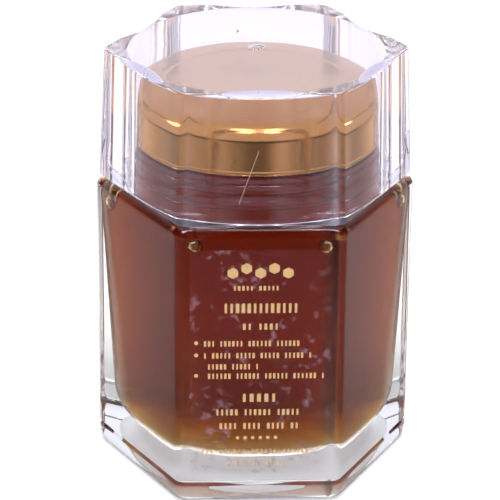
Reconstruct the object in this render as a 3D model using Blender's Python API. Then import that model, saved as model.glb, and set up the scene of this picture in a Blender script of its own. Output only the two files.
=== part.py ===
"""Six-sided glass honey jar with its honey, twist-off lid, clear over-cap and film label.

The frame: +Z is up, the origin is the centre of the underside, the corners of the
hexagon lie on +X and -X, and the labelled face looks along -Y. Units are metres.
"""

import math

import bmesh
import bpy

# Glass body
BODY_APOTHEM = 0.03118          # centre to the middle of a flat side
BODY_CORNER_ROUND = 0.0020
HEEL_ROUND = 0.0025
SHOULDER_HEIGHT = 0.0664
SHOULDER_ROUND = 0.0024
PUSH_UP_RADIUS = 0.0235
PUSH_UP_HEIGHT = 0.0025

# Round collar and neck of the glass
COLLAR_ROOT_RADIUS = 0.0283
COLLAR_ROOT_FILLET = 0.0008
COLLAR_TOP_RADIUS = 0.0273
COLLAR_TOP = 0.0767
LOWER_BEAD_HEIGHT = 0.0706
UPPER_BEAD_HEIGHT = 0.0740
BEAD_HALF_HEIGHT = 0.0010
BEAD_RISE = 0.0003
NECK_RADIUS = 0.0261
RIM_TOP = 0.0865
RIM_ROUND = 0.0009
MOUTH_RADIUS = 0.0228

# Inside of the glass, which the honey fills
CAVITY_TOP_APOTHEM = 0.0289
CAVITY_TOP_CORNER_ROUND = 0.0080
CAVITY_TOP = 0.0610
CAVITY_LOW_APOTHEM = 0.0240
CAVITY_LOW_CORNER_ROUND = 0.0150
FLOOR_HEIGHT = 0.0086
FLOOR_ROUND = 0.0070
COLLAR_INSIDE_RADIUS = 0.0253
HONEY_LEVEL = 0.0830
MESH_GAP = 0.0003

# Twist-off lid
LID_RADIUS = 0.0277
LID_BOTTOM = 0.0772
LID_TOP = 0.0880
LID_EDGE_ROUND = 0.0015
LID_CURL_RADIUS = 0.0279
LID_CURL_HEIGHT = 0.0012
LID_PANEL_RADIUS = 0.0235
LID_PANEL_DROP = 0.0007
LID_SHEET = 0.00045

# Clear over-cap
CAP_BOTTOM = SHOULDER_HEIGHT + MESH_GAP
CAP_TOP = 0.0966
CAP_BOTTOM_APOTHEM = 0.0306
CAP_TOP_APOTHEM = 0.0294
CAP_CORNER_ROUND = 0.0014
CAP_EDGE_ROUND = 0.0004
CAP_BORE_BOTTOM_RADIUS = 0.0289
CAP_BORE_TOP_RADIUS = 0.0285
CAP_PLATE = 0.0015
CAP_BORE_FILLET = 0.0005

# Film label on the front face
LABEL_CENTRE_X = 0.0002
LABEL_WIDTH = 0.0310
LABEL_BOTTOM = 0.0071
LABEL_TOP = 0.0615
LABEL_CORNER_ROUND = 0.0011
LABEL_THICKNESS = 0.0002

# Every ring of points round the axis has the same number of them
CORNERS = 6
POINTS_PER_CORNER = 8
ARC_STEPS = 4


def remove_scene_objects():
    for old in list(bpy.data.objects):
        bpy.data.objects.remove(old, do_unlink=True)


def principled_material(name, colour, roughness, metallic=0.0, transmission=0.0):
    material = bpy.data.materials.new(name)
    material.use_nodes = True
    shader = material.node_tree.nodes["Principled BSDF"]
    shader.inputs["Base Color"].default_value = (*colour, 1.0)
    shader.inputs["Roughness"].default_value = roughness
    shader.inputs["Metallic"].default_value = metallic
    shader.inputs["Transmission Weight"].default_value = transmission
    return material


def rounded_hexagon(apothem, corner_round, height):
    """Points of a hexagon with round corners; a full round gives a circle."""
    is_circle = corner_round >= apothem
    centre_distance = (apothem - corner_round) / math.cos(math.radians(30))
    sweep = 60.0 / POINTS_PER_CORNER if is_circle else 60.0 / (POINTS_PER_CORNER - 1)
    points = []
    for corner in range(CORNERS):
        direction = math.radians(60.0 * corner)
        centre_x = 0.0 if is_circle else centre_distance * math.cos(direction)
        centre_y = 0.0 if is_circle else centre_distance * math.sin(direction)
        radius = apothem if is_circle else corner_round
        for step in range(POINTS_PER_CORNER):
            turn = sweep * (step - (POINTS_PER_CORNER - 1) / 2.0)
            angle = direction + math.radians(turn)
            x = centre_x + radius * math.cos(angle)
            y = centre_y + radius * math.sin(angle)
            points.append((x, y, height))
    return points


def circle(radius, height):
    return rounded_hexagon(radius, radius, height)


def arc(centre_r, centre_z, radius, start_degrees, end_degrees, steps=ARC_STEPS):
    """Profile points (distance from the axis, height) along an arc, both ends included."""
    points = []
    for step in range(steps + 1):
        angle = math.radians(start_degrees + (end_degrees - start_degrees) * step / steps)
        points.append((centre_r + radius * math.cos(angle), centre_z + radius * math.sin(angle)))
    return points


def loft(name, rings, material):
    """A closed solid through rings of points, with its first and last ring filled flat."""
    mesh_builder = bmesh.new()
    loops = [[mesh_builder.verts.new(point) for point in ring] for ring in rings]
    for lower, upper in zip(loops, loops[1:]):
        for index in range(len(lower)):
            band = (lower[index - 1], lower[index], upper[index], upper[index - 1])
            mesh_builder.faces.new(band)
    mesh_builder.faces.new(loops[0])
    mesh_builder.faces.new(loops[-1])
    bmesh.ops.recalc_face_normals(mesh_builder, faces=mesh_builder.faces[:])
    return finish_object(name, mesh_builder, material)


def finish_object(name, mesh_builder, material):
    mesh = bpy.data.meshes.new(name)
    mesh_builder.to_mesh(mesh)
    mesh_builder.free()
    mesh.shade_smooth()
    mesh.set_sharp_from_angle(angle=math.radians(30))
    mesh.materials.append(material)
    made = bpy.data.objects.new(name, mesh)
    bpy.context.scene.collection.objects.link(made)
    return made


def blended(low, high, share):
    return low + (high - low) * share


def moved_inwards(profile, gap):
    """The profile (distance, corner round, height) shifted by a gap, square to its course."""
    moved = []
    for index, (distance, corner_round, height) in enumerate(profile):
        before = profile[max(index - 1, 0)]
        after = profile[min(index + 1, len(profile) - 1)]
        along_r = after[0] - before[0]
        along_z = after[2] - before[2]
        length = math.hypot(along_r, along_z)
        new_distance = distance - gap * along_z / length
        new_height = height + gap * along_r / length
        is_circle = corner_round >= distance
        moved.append((new_distance, new_distance if is_circle else corner_round, new_height))
    return moved


def cavity_profile(top_height):
    """The hollow of the glass from its floor up: hexagonal below, round in the neck."""
    profile = []
    floor_centre = CAVITY_LOW_APOTHEM - FLOOR_ROUND
    for distance, height in arc(floor_centre, FLOOR_HEIGHT + FLOOR_ROUND, FLOOR_ROUND, -90, 0, 6):
        profile.append((distance, min(CAVITY_LOW_CORNER_ROUND, 0.9 * distance), height))
    low = profile[-1][2]
    for share in (1 / 3, 2 / 3, 1.0):
        distance = blended(CAVITY_LOW_APOTHEM, CAVITY_TOP_APOTHEM, share)
        corner_round = blended(CAVITY_LOW_CORNER_ROUND, CAVITY_TOP_CORNER_ROUND, share)
        profile.append((distance, corner_round, blended(low, CAVITY_TOP, share)))
    ceiling_round = CAVITY_TOP_APOTHEM - COLLAR_INSIDE_RADIUS
    for distance, height in arc(COLLAR_INSIDE_RADIUS, CAVITY_TOP, ceiling_round, 25, 75, 3):
        share = (distance - COLLAR_INSIDE_RADIUS) / ceiling_round
        corner_round = blended(0.92 * distance, CAVITY_TOP_CORNER_ROUND, share)
        profile.append((distance, corner_round, height))
    neck = [
        (COLLAR_INSIDE_RADIUS, SHOULDER_HEIGHT),
        (COLLAR_INSIDE_RADIUS - 0.0002, COLLAR_TOP - 0.0030),
        (blended(COLLAR_INSIDE_RADIUS, MOUTH_RADIUS, 0.35), COLLAR_TOP - 0.0008),
        (blended(COLLAR_INSIDE_RADIUS, MOUTH_RADIUS, 0.85), COLLAR_TOP + 0.0010),
        (MOUTH_RADIUS, COLLAR_TOP + 0.0026),
        (MOUTH_RADIUS, top_height),
    ]
    profile.extend((radius, radius, height) for radius, height in neck)
    return profile


def profile_rings(profile):
    return [rounded_hexagon(*station) for station in profile]


def underside_rings():
    """The push-up in the middle of the base, out to the ring that the jar stands on."""
    stations = [
        (0.55 * PUSH_UP_RADIUS, PUSH_UP_HEIGHT),
        (0.85 * PUSH_UP_RADIUS, 0.80 * PUSH_UP_HEIGHT),
        (0.96 * PUSH_UP_RADIUS, 0.35 * PUSH_UP_HEIGHT),
        (PUSH_UP_RADIUS, 0.0),
    ]
    return [circle(radius, height) for radius, height in stations]


def body_rings():
    """The flat-sided body from its heel to its shoulder."""
    rings = []
    for distance, height in arc(BODY_APOTHEM - HEEL_ROUND, HEEL_ROUND, HEEL_ROUND, -90, 0):
        inwards = BODY_APOTHEM - distance
        rings.append(rounded_hexagon(distance, BODY_CORNER_ROUND + inwards, height))
    shoulder_centre = (BODY_APOTHEM - SHOULDER_ROUND, SHOULDER_HEIGHT - SHOULDER_ROUND)
    for distance, height in arc(*shoulder_centre, SHOULDER_ROUND, 0, 90):
        inwards = BODY_APOTHEM - distance
        rings.append(rounded_hexagon(distance, BODY_CORNER_ROUND + inwards, height))
    return rings


def bead(base_radius, height):
    """A low ridge round the collar."""
    return [
        (base_radius, height - BEAD_HALF_HEIGHT),
        (base_radius + 0.7 * BEAD_RISE, height - 0.5 * BEAD_HALF_HEIGHT),
        (base_radius + BEAD_RISE, height),
        (base_radius + 0.7 * BEAD_RISE, height + 0.5 * BEAD_HALF_HEIGHT),
        (base_radius, height + BEAD_HALF_HEIGHT),
    ]


def collar_radius(height):
    share = (height - SHOULDER_HEIGHT) / (COLLAR_TOP - SHOULDER_HEIGHT)
    return blended(COLLAR_ROOT_RADIUS, COLLAR_TOP_RADIUS + 0.0003, share)


def collar_and_neck_rings():
    """The round collar with its two beads, the neck under the lid, and the rim."""
    fillet_centre = (COLLAR_ROOT_RADIUS + COLLAR_ROOT_FILLET, SHOULDER_HEIGHT + COLLAR_ROOT_FILLET)
    stations = arc(*fillet_centre, COLLAR_ROOT_FILLET, 270, 180, 3)
    stations += bead(collar_radius(LOWER_BEAD_HEIGHT), LOWER_BEAD_HEIGHT)
    stations += bead(collar_radius(UPPER_BEAD_HEIGHT), UPPER_BEAD_HEIGHT)
    collar_edge = COLLAR_TOP_RADIUS - NECK_RADIUS
    stations += arc(NECK_RADIUS, COLLAR_TOP - collar_edge, collar_edge, 0, 75, 3)
    stations.append((NECK_RADIUS, COLLAR_TOP + 0.0003))
    stations += arc(NECK_RADIUS - RIM_ROUND, RIM_TOP - RIM_ROUND, RIM_ROUND, 0, 90, 3)
    stations += arc(MOUTH_RADIUS + RIM_ROUND, RIM_TOP - RIM_ROUND, RIM_ROUND, 90, 180, 3)
    return [circle(radius, height) for radius, height in stations]


def make_glass_jar():
    inside = profile_rings(cavity_profile(RIM_TOP - 3 * RIM_ROUND))
    rings = underside_rings() + body_rings() + collar_and_neck_rings() + inside[::-1]
    glass = principled_material("glass", (0.93, 0.95, 0.96), 0.03, transmission=1.0)
    return loft("glass_jar", rings, glass)


def make_honey():
    filled = moved_inwards(cavity_profile(HONEY_LEVEL), MESH_GAP)
    dark_amber = principled_material("honey", (0.32, 0.07, 0.02), 0.08, transmission=0.6)
    return loft("honey", profile_rings(filled), dark_amber)


def lid_outer_profile():
    """From the curl at the bottom of the skirt, over the edge, to the sunk panel."""
    curl_middle = LID_BOTTOM + LID_CURL_HEIGHT / 2
    profile = [
        (LID_RADIUS - LID_SHEET, LID_BOTTOM),
        (LID_CURL_RADIUS - 0.0001, LID_BOTTOM + 0.0002),
        (LID_CURL_RADIUS, curl_middle),
        (LID_RADIUS, LID_BOTTOM + LID_CURL_HEIGHT),
    ]
    profile += arc(LID_RADIUS - LID_EDGE_ROUND, LID_TOP - LID_EDGE_ROUND, LID_EDGE_ROUND, 0, 90)
    profile += [
        (LID_PANEL_RADIUS + 0.0012, LID_TOP),
        (LID_PANEL_RADIUS + 0.0005, LID_TOP - 0.35 * LID_PANEL_DROP),
        (LID_PANEL_RADIUS, LID_TOP - LID_PANEL_DROP),
    ]
    return profile


def lid_inner_profile():
    inner_round = LID_EDGE_ROUND - LID_SHEET
    profile = [(LID_RADIUS - LID_SHEET - 0.0001, LID_BOTTOM + 0.0004)]
    profile += arc(
        LID_RADIUS - LID_EDGE_ROUND, LID_TOP - LID_EDGE_ROUND, inner_round, 0, 90, 3
    )
    profile += [
        (LID_PANEL_RADIUS + 0.0010, LID_TOP - LID_SHEET),
        (LID_PANEL_RADIUS - 0.0002, LID_TOP - LID_PANEL_DROP - LID_SHEET),
    ]
    return profile


def make_twist_lid():
    profile = lid_inner_profile()[::-1] + lid_outer_profile()
    rings = [circle(radius, height) for radius, height in profile]
    gold = principled_material("gold_lacquer", (0.55, 0.38, 0.18), 0.28, metallic=1.0)
    return loft("twist_lid", rings, gold)


def cap_outer_rings():
    rings = []
    low_centre = (CAP_BOTTOM_APOTHEM - CAP_EDGE_ROUND, CAP_BOTTOM + CAP_EDGE_ROUND)
    for distance, height in arc(*low_centre, CAP_EDGE_ROUND, -90, 0, 2):
        rings.append(rounded_hexagon(distance, CAP_CORNER_ROUND, height))
    high_centre = (CAP_TOP_APOTHEM - CAP_EDGE_ROUND, CAP_TOP - CAP_EDGE_ROUND)
    for distance, height in arc(*high_centre, CAP_EDGE_ROUND, 0, 90, 2):
        rings.append(rounded_hexagon(distance, CAP_CORNER_ROUND, height))
    return rings


def cap_bore_rings():
    """The round bore from the plate under the top down to the open bottom."""
    ceiling = CAP_TOP - CAP_PLATE
    fillet_centre = (CAP_BORE_TOP_RADIUS - CAP_BORE_FILLET, ceiling - CAP_BORE_FILLET)
    stations = arc(*fillet_centre, CAP_BORE_FILLET, 90, 0, 3)
    stations.append((CAP_BORE_BOTTOM_RADIUS, CAP_BOTTOM))
    return [circle(radius, height) for radius, height in stations]


def make_over_cap():
    rings = cap_bore_rings() + cap_outer_rings()
    clear = principled_material("clear_plastic", (0.92, 0.90, 0.96), 0.04, transmission=1.0)
    return loft("over_cap", rings, clear)


def label_outline():
    """The label's outline in X and Z, anticlockwise seen from the front."""
    half_width = LABEL_WIDTH / 2
    corner_centres = [
        (half_width - LABEL_CORNER_ROUND, LABEL_TOP - LABEL_CORNER_ROUND, 0),
        (LABEL_CORNER_ROUND - half_width, LABEL_TOP - LABEL_CORNER_ROUND, 90),
        (LABEL_CORNER_ROUND - half_width, LABEL_BOTTOM + LABEL_CORNER_ROUND, 180),
        (half_width - LABEL_CORNER_ROUND, LABEL_BOTTOM + LABEL_CORNER_ROUND, 270),
    ]
    outline = []
    for x, z, start in corner_centres:
        outline += arc(LABEL_CENTRE_X + x, z, LABEL_CORNER_ROUND, start, start + 90)
    return outline


def make_label():
    back = -(BODY_APOTHEM + MESH_GAP)
    rings = [
        [(x, depth, z) for x, z in label_outline()]
        for depth in (back, back - LABEL_THICKNESS)
    ]
    film = principled_material("label_film", (0.45, 0.25, 0.20), 0.35, transmission=0.5)
    return loft("label", rings, film)


def build():
    remove_scene_objects()
    make_glass_jar()
    make_honey()
    make_twist_lid()
    make_over_cap()
    make_label()


build()
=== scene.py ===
"""Looks of a six-sided honey jar: thick clear glass, dark amber honey with trapped air, a gold
twist-off lid, a clear over-cap and a film label with gold print, in a plain pale studio."""

import math

import bmesh
import bpy
from bpy.props import FloatProperty, FloatVectorProperty, PointerProperty
from mathutils import Matrix, Vector


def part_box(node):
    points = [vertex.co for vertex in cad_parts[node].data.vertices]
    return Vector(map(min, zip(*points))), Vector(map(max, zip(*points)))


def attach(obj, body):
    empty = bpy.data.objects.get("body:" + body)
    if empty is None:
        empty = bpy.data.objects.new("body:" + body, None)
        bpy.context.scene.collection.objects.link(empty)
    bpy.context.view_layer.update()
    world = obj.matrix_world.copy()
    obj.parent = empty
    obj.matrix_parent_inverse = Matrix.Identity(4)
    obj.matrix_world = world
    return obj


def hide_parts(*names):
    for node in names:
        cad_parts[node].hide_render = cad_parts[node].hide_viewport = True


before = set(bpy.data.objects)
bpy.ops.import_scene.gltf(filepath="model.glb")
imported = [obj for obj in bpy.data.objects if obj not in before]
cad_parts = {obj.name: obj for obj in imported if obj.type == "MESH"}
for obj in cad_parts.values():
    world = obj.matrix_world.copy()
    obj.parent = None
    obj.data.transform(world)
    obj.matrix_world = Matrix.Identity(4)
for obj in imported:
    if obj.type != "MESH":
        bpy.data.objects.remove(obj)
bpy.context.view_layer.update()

bl_info = {
    "name": "Honey Jar Looks",
    "version": (1, 0, 0),
    "blender": (4, 5, 0),
    "location": "View3D > Sidebar > Honey Jar",
    "description": "Models the glass, honey, lid, over-cap and label of a six-sided honey jar",
    "category": "Object",
}

# Places taken from the frame
GLASS_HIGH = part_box("glass_jar")[1]
LID_LOW, LID_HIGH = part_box("twist_lid")
CAP_LOW, CAP_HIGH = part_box("over_cap")
LABEL_LOW, LABEL_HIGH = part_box("label")
HONEY_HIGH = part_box("honey")[1]
MESH_GAP = 0.0003               # the space that the solids keep between touching pieces
INK_GAP = 0.000005              # the space between film and print

# How finely the rings of the six-sided pieces are divided
CORNERS = 6
CORNER_POINTS = 17
SIDE_POINTS = 24
RING_POINTS = CORNERS * (CORNER_POINTS + SIDE_POINTS)
SEAM_DIRECTION = math.radians(30.0)
ROUND_STEPS = 192


# Sizes and colours that a user would change

def length(name, description, default):
    return FloatProperty(name=name, description=description, default=default, unit="LENGTH", precision=5)


def colour(name, description, default):
    return FloatVectorProperty(
        name=name, description=description, default=default, subtype="COLOR", size=3, min=0.0, max=1.0
    )


class HONEYJAR_PG_glass(bpy.types.PropertyGroup):
    """Sizes of the glass."""

    half_width: length("Half width", "Axis to the middle of a flat side", GLASS_HIGH.y)
    corner_round: length("Corner round", "Radius of the six upright edges", 0.0026)
    heel_round: length("Heel round", "Height of the round between sides and underside", 0.0038)
    heel_depth: length("Heel depth", "How far the heel draws in", 0.0011)
    shoulder_height: length("Shoulder height", "Height of the flat shoulder", CAP_LOW.z - MESH_GAP)
    shoulder_round: length("Shoulder round", "Radius between the sides and the shoulder", 0.0024)
    push_up_radius: length("Push-up radius", "Radius of the hollow in the underside", 0.0235)
    push_up_height: length("Push-up height", "Depth of the hollow in the underside", 0.0025)
    collar_radius: length("Collar radius", "Radius of the collar where it leaves the shoulder", 0.0283)
    collar_top_radius: length("Collar top radius", "Radius of the collar at its top", 0.0276)
    collar_top: length("Collar top", "Height of the top of the collar", 0.0767)
    bead_rise: length("Bead rise", "How far the beads stand out of the collar", 0.0006)
    neck_radius: length("Neck radius", "Radius of the neck under the lid", 0.0261)
    mouth_radius: length("Mouth radius", "Inner radius of the mouth", 0.0228)
    rim_height: length("Rim height", "Height of the rim of the mouth", GLASS_HIGH.z)
    rim_round: length("Rim round", "Radius of the rim's edges", 0.0009)
    tint: colour("Tint", "Colour that the glass lets through", (0.975, 0.985, 1.0))


class HONEYJAR_PG_honey(bpy.types.PropertyGroup):
    """Sizes of the hollow that the honey fills, and its colour."""

    top_half_width: length("Top half width", "Half width of the hollow under the shoulder", 0.0292)
    top_corner_round: length("Top corner round", "Corner radius of the hollow at its top", 0.0080)
    top_height: length("Top height", "Height at which the hollow starts to close in", 0.0610)
    low_half_width: length("Low half width", "Half width of the hollow above its floor", 0.0251)
    low_corner_round: length("Low corner round", "Corner radius of the hollow above its floor", 0.0165)
    floor_height: length("Floor height", "Height of the hollow's floor", 0.0076)
    floor_round: length("Floor round", "Radius between the floor and the sides", 0.0062)
    collar_inside: length("Collar inside", "Inner radius of the collar", 0.0253)
    level: length("Level", "Height of the honey's surface in the neck", HONEY_HIGH.z)
    overlap: length("Overlap", "How far the honey reaches into the wall", 0.00006)
    colour: colour("Colour", "Colour that a deep layer lets through", (0.812, 0.585, 0.0545))
    density: FloatProperty(name="Density", description="Absorption per metre", default=216.0, min=0.0)


class HONEYJAR_PG_lid(bpy.types.PropertyGroup):
    """Sizes and colour of the lid."""

    radius: length("Radius", "Radius of the skirt", 0.0277)
    top: length("Top", "Height of the top rim", LID_HIGH.z)
    bottom: length("Bottom", "Height of the lower edge", LID_LOW.z)
    edge_round: length("Edge round", "Radius between the top and the skirt", 0.0034)
    panel_radius: length("Panel radius", "Radius of the sunk panel", 0.0204)
    panel_drop: length("Panel drop", "Depth of the sunk panel", 0.00015)
    ridge_rise: length("Ridge rise", "Height of the fine ridge round the panel", 0.00012)
    panel_slope: length("Panel slope", "Width of the slope round the panel", 0.0010)
    sheet: length("Sheet", "Thickness of the sheet metal", 0.00035)
    colour: colour("Colour", "Colour of the gold lacquer", (0.63, 0.315, 0.095))


class HONEYJAR_PG_cap(bpy.types.PropertyGroup):
    """Sizes and colour of the clear over-cap."""

    bottom_half_width: length("Bottom half width", "Axis to a flat side at the bottom", CAP_HIGH.y)
    top_half_width: length("Top half width", "Axis to a flat side at the top", 0.0294)
    corner_round: length("Corner round", "Radius of the six upright edges", 0.0025)
    edge_round: length("Edge round", "Radius of the top and bottom edges", 0.0004)
    bore_bottom_radius: length("Bore bottom", "Radius of the bore at the bottom", 0.0289)
    bore_top_radius: length("Bore top", "Radius of the bore at the top", 0.0285)
    plate: length("Plate", "Thickness of the flat top", 0.0015)
    bore_fillet: length("Bore fillet", "Radius between the bore and the plate", 0.00025)
    facet_reach: length("Facet reach", "Half length of the lens-shaped facet on each top edge", 0.0090)
    facet_back: length("Facet back", "How far a facet reaches back on the top", 0.0017)
    facet_down: length("Facet down", "How far a facet reaches down the side", 0.0010)
    colour: colour("Colour", "Tint of the clear plastic", (0.905, 0.880, 0.985))


class HONEYJAR_PG_label(bpy.types.PropertyGroup):
    """Sizes and colours of the label and its print."""

    corner_round: length("Corner round", "Radius of the label's corners", 0.0011)
    thickness: length("Thickness", "Thickness of the film", 0.00006)
    lift: length("Lift", "How far the film stands off the glass", 0.00005)
    film_colour: colour("Film colour", "Colour of the film and its glue", (0.36, 0.20, 0.25))
    ink_colour: colour("Ink colour", "Colour of the gold print", (0.78, 0.50, 0.23))
    ink_thickness: length("Ink thickness", "Thickness of the gold print", 0.00003)


class HONEYJAR_PG_studio(bpy.types.PropertyGroup):
    """Light and floor of the studio."""

    floor_colour: colour("Floor colour", "Colour of the pale floor", (0.86, 0.86, 0.87))
    floor_half_size: length("Floor half size", "Half of the floor's side", 6.0)
    covered_radius: length("Covered radius", "Radius of the floor under the jar's push-up", 0.0255)
    mirror_share: FloatProperty(name="Mirror share", description="Dimmer floor in reflections", default=0.48)
    table_glow: FloatProperty(name="Table glow", description="Light that the floor gives", default=0.35)
    covered_glow: FloatProperty(name="Covered glow", description="Light given under the jar", default=3.7)
    lamp_power: FloatProperty(
        name="Lamp power", description="Power of each soft lamp", default=3.0, unit="POWER"
    )
    room_light: FloatProperty(name="Room light", description="Strength of the even light", default=0.45)


class HONEYJAR_PG_all(bpy.types.PropertyGroup):
    """All settings of the jar."""

    glass: PointerProperty(type=HONEYJAR_PG_glass)
    honey: PointerProperty(type=HONEYJAR_PG_honey)
    lid: PointerProperty(type=HONEYJAR_PG_lid)
    cap: PointerProperty(type=HONEYJAR_PG_cap)
    label: PointerProperty(type=HONEYJAR_PG_label)
    studio: PointerProperty(type=HONEYJAR_PG_studio)


# Small modelling helpers

def blended(low, high, share):
    return low + (high - low) * share


def smooth_step(share):
    return share * share * (3.0 - 2.0 * share)


def shares(steps):
    """The shares from 0 to 1 in this many steps, both ends included."""
    return [step / steps for step in range(steps + 1)]


def on_side(x, y):
    """The flat side that a place lies towards: how far outward and how far across it lies there."""
    direction, reach = math.atan2(y, x), math.hypot(x, y)
    middle = math.radians(60.0 * math.floor(math.degrees(direction) / 60.0) + 30.0)
    return middle, reach * math.cos(direction - middle), reach * math.sin(direction - middle)


def deselect_everything():
    if bpy.context.object and bpy.context.object.mode != "OBJECT":
        bpy.ops.object.mode_set(mode="OBJECT")
    bpy.ops.object.select_all(action="DESELECT")


def pick(*pieces):
    """Selects these pieces alone and makes the last one active."""
    deselect_everything()
    for piece in pieces:
        piece.select_set(True)
    bpy.context.view_layer.objects.active = pieces[-1]


def start_editing():
    bpy.ops.object.mode_set(mode="EDIT")
    bpy.ops.mesh.select_all(action="SELECT")


def stop_editing():
    bpy.ops.object.mode_set(mode="OBJECT")


def name_new_piece(name):
    piece = bpy.context.object
    piece.name = name
    piece.data.name = name
    return piece


def apply_place(piece):
    """Puts the piece's place into its mesh, so that its object sits at the origin."""
    pick(piece)
    bpy.ops.object.transform_apply(location=True, rotation=True, scale=True)


def apply_modifier(piece, kind, **values):
    """Adds a modifier with these values and applies it."""
    pick(piece)
    modifier = piece.modifiers.new(kind.lower(), kind)
    for name, value in values.items():
        setattr(modifier, name, value)
    bpy.ops.object.modifier_apply(modifier=modifier.name)


def copy_shape(model, place, size):
    """A copy with its own mesh, sized and moved within that mesh."""
    copy = model.copy()
    copy.data = model.data.copy()
    copy.data.transform(Matrix.Translation(place) @ Matrix.Diagonal((*size, 1.0)))
    bpy.context.scene.collection.objects.link(copy)
    return copy


def drop_model(model):
    mesh = model.data
    bpy.data.objects.remove(model)
    bpy.data.meshes.remove(mesh)


def join_into(piece, others):
    pick(*others, piece)
    bpy.ops.object.join()


def shade(piece, sharp_degrees):
    """Smooth shading whose flat faces stay truly flat."""
    pick(piece)
    bpy.ops.object.shade_smooth_by_angle(angle=math.radians(sharp_degrees))
    apply_modifier(piece, "WEIGHTED_NORMAL", mode="FACE_AREA", weight=100, keep_sharp=True, thresh=0.01)


def dress(piece, *materials):
    piece.data.materials.clear()
    for material in materials:
        piece.data.materials.append(material)


def arc(centre_r, centre_z, radius, start_degrees, end_degrees, steps):
    """Profile points (distance from the axis, height) along an arc, both ends included."""
    turns = [math.radians(blended(start_degrees, end_degrees, share)) for share in shares(steps)]
    return [(centre_r + radius * math.cos(turn), centre_z + radius * math.sin(turn)) for turn in turns]



# Six-sided rings

def corner_half_angle(half_width, corner_round):
    """The angle, from a corner's direction, over which the ring's points stand close together."""
    if corner_round >= half_width:
        return math.radians(30.0 * CORNER_POINTS / (CORNER_POINTS + SIDE_POINTS))
    centre = (half_width - corner_round) / math.cos(math.radians(30))
    across = corner_round * math.sin(math.radians(30))
    along = centre + corner_round * math.cos(math.radians(30))
    return min(1.15 * math.atan2(across, along) + math.radians(0.3), math.radians(16.5))


def outline_radius(half_width, corner_round, off_corner):
    """Distance from the axis to a round-cornered hexagon, at an angle from its corner."""
    if corner_round >= half_width:
        return half_width
    centre = (half_width - corner_round) / math.cos(math.radians(30))
    touch_across = corner_round * math.sin(math.radians(30))
    touch_along = centre + corner_round * math.cos(math.radians(30))
    if abs(off_corner) >= math.atan2(touch_across, touch_along):
        return half_width / math.cos(math.radians(30) - abs(off_corner))
    aside = centre * math.sin(off_corner)
    return centre * math.cos(off_corner) + math.sqrt(corner_round ** 2 - aside ** 2)


def ring_points(half_width, corner_round, height):
    """Points of a hexagon with round corners; a full round gives a circle."""
    reach = corner_half_angle(half_width, corner_round)
    side = math.radians(60.0) - 2.0 * reach
    turns = [blended(-reach, reach, step / (CORNER_POINTS - 1)) for step in range(CORNER_POINTS)]
    turns += [reach + side * step / (SIDE_POINTS + 1) for step in range(1, SIDE_POINTS + 1)]
    points = []
    for corner in range(CORNERS):
        direction = math.radians(60.0 * corner)
        for turn in turns:
            off_corner = turn if turn <= math.radians(30.0) else turn - math.radians(60.0)
            radius = outline_radius(half_width, corner_round, off_corner)
            angle = direction + turn
            points.append(Vector((radius * math.cos(angle), radius * math.sin(angle), height)))
    return points


def turn_from_seam(place):
    return (math.atan2(place[1], place[0]) - SEAM_DIRECTION) % (2.0 * math.pi)


def place_selected_ring(piece, points):
    """Moves the selected ring's points to their places, matched by their turn round the axis."""
    edited = bmesh.from_edit_mesh(piece.data)
    chosen = [vertex for vertex in edited.verts if vertex.select]
    ring = sorted(chosen, key=lambda vertex: turn_from_seam(vertex.co))
    for vertex, point in zip(ring, sorted(points, key=turn_from_seam)):
        vertex.co = point
    bmesh.update_edit_mesh(piece.data)


def build_from_rings(name, stations):
    """A closed piece: a circle is drawn, extruded from ring to ring, and filled at both ends."""
    deselect_everything()
    bpy.ops.mesh.primitive_circle_add(vertices=RING_POINTS, radius=stations[0][0])
    piece = name_new_piece(name)
    bpy.ops.object.mode_set(mode="EDIT")
    bpy.ops.mesh.select_mode(type="EDGE")
    bpy.ops.mesh.select_all(action="SELECT")
    place_selected_ring(piece, ring_points(*stations[0]))
    for station in stations[1:]:
        bpy.ops.mesh.extrude_region_move()
        place_selected_ring(piece, ring_points(*station))
    bpy.ops.mesh.edge_face_add()
    bpy.ops.mesh.select_all(action="DESELECT")
    bpy.ops.mesh.select_non_manifold(
        extend=False, use_wire=False, use_multi_face=False, use_non_contiguous=False, use_verts=False
    )
    bpy.ops.mesh.edge_face_add()
    bpy.ops.mesh.select_all(action="SELECT")
    bpy.ops.mesh.normals_make_consistent(inside=False)
    bpy.ops.object.mode_set(mode="OBJECT")
    return piece


# Turned pieces

def draw_profile(name, points):
    """Draws a chain of edges in the XZ plane by extruding a single point."""
    deselect_everything()
    bpy.ops.mesh.primitive_plane_add(size=0.001)
    piece = name_new_piece(name)
    bpy.ops.object.mode_set(mode="EDIT")
    bpy.ops.mesh.select_mode(type="VERT")
    bpy.ops.mesh.select_all(action="SELECT")
    bpy.ops.mesh.merge(type="CENTER")
    bpy.ops.mesh.select_all(action="SELECT")
    bpy.ops.transform.translate(value=(points[0][0], 0.0, points[0][1]))
    for before, after in zip(points, points[1:]):
        step = (after[0] - before[0], 0.0, after[1] - before[1])
        bpy.ops.mesh.extrude_region_move(TRANSFORM_OT_translate={"value": step})
    return piece


def turn_profile(name, points, steps=ROUND_STEPS):
    """A turned piece: the profile is spun once round the axis and its seam is closed."""
    piece = draw_profile(name, points)
    bpy.ops.mesh.select_all(action="SELECT")
    bpy.ops.mesh.spin(steps=steps, angle=2.0 * math.pi, center=(0.0, 0.0, 0.0), axis=(0.0, 0.0, 1.0))
    bpy.ops.mesh.select_all(action="SELECT")
    bpy.ops.mesh.remove_doubles(threshold=0.000002)
    bpy.ops.mesh.normals_make_consistent(inside=False)
    bpy.ops.object.mode_set(mode="OBJECT")
    return piece


# Shader building

def new_tree(name):
    """A fresh material with its Principled shader."""
    material = bpy.data.materials.new(name)
    material.use_nodes = True
    return material, material.node_tree, material.node_tree.nodes["Principled BSDF"]


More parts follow.
